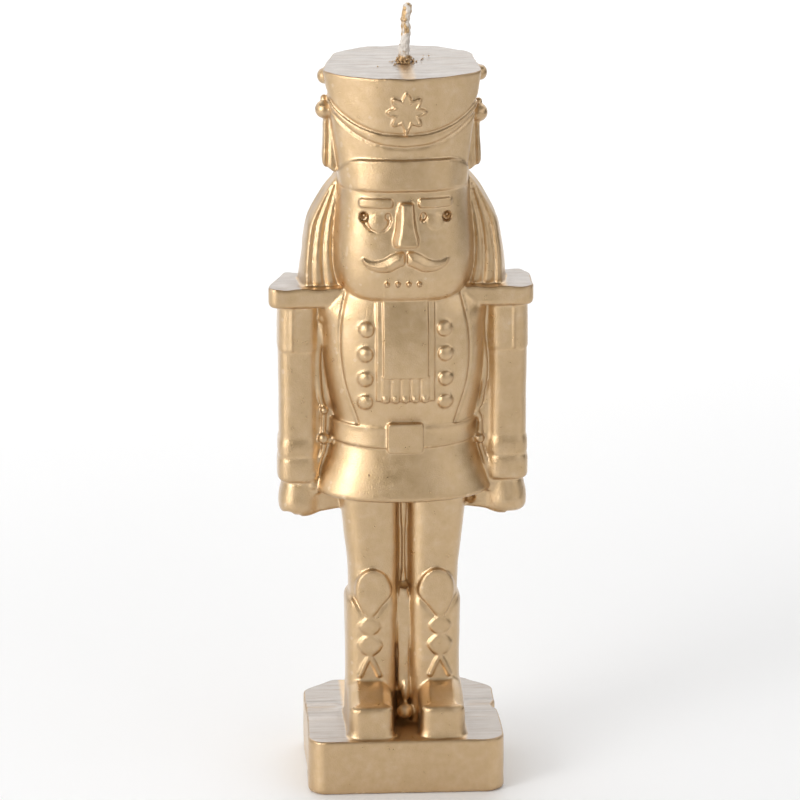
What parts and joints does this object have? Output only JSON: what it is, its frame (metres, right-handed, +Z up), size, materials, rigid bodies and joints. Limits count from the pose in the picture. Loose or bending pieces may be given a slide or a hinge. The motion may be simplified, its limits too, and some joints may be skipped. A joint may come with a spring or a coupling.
{
  "type": "nutcracker figure candle",
  "caption": "Gold-lacquered wax candle cast as a standing nutcracker soldier on a square plinth, with a cotton wick out of its hat.",
  "frame": {"origin": "centre of the plinth's flat underside", "axes": "+Z up along the wick, -Y the way the soldier faces, +X the soldier's own left"},
  "size_m": [0.0576, 0.0424, 0.173],
  "materials": {
    "gold_lacquer_wax": "satin metallic gold lacquer over cast wax",
    "wick_cotton": "braided cotton, partly gold"
  },
  "bodies": {
    "root": {"plinth": "gold_lacquer_wax", "leg_web": "gold_lacquer_wax", "boot_left": "gold_lacquer_wax", "boot_right": "gold_lacquer_wax", "boot_lace_left": "gold_lacquer_wax", "boot_lace_right": "gold_lacquer_wax", "trouser_leg_left": "gold_lacquer_wax", "trouser_leg_right": "gold_lacquer_wax", "coat_skirt": "gold_lacquer_wax", "belt": "gold_lacquer_wax", "belt_buckle": "gold_lacquer_wax", "coat_body": "gold_lacquer_wax", "coat_front": "gold_lacquer_wax", "jabot": "gold_lacquer_wax", "coat_buttons": "gold_lacquer_wax", "shoulder_board_left": "gold_lacquer_wax", "shoulder_board_right": "gold_lacquer_wax", "sleeve_left": "gold_lacquer_wax", "sleeve_right": "gold_lacquer_wax", "cuff_left": "gold_lacquer_wax", "cuff_right": "gold_lacquer_wax", "hand_left": "gold_lacquer_wax", "hand_right": "gold_lacquer_wax", "side_web_left": "gold_lacquer_wax", "side_web_right": "gold_lacquer_wax", "head": "gold_lacquer_wax", "nose": "gold_lacquer_wax", "eyebrows": "gold_lacquer_wax", "eyes": "gold_lacquer_wax", "moustache": "gold_lacquer_wax", "teeth": "gold_lacquer_wax", "hair": "gold_lacquer_wax", "hat_crown": "gold_lacquer_wax", "hat_visor": "gold_lacquer_wax", "hat_swag": "gold_lacquer_wax", "hat_star": "gold_lacquer_wax", "hat_tassel_left": "gold_lacquer_wax", "hat_tassel_right": "gold_lacquer_wax", "hat_knob_left": "gold_lacquer_wax", "hat_knob_right": "gold_lacquer_wax", "wick": "wick_cotton"}
  },
  "joints": []
}
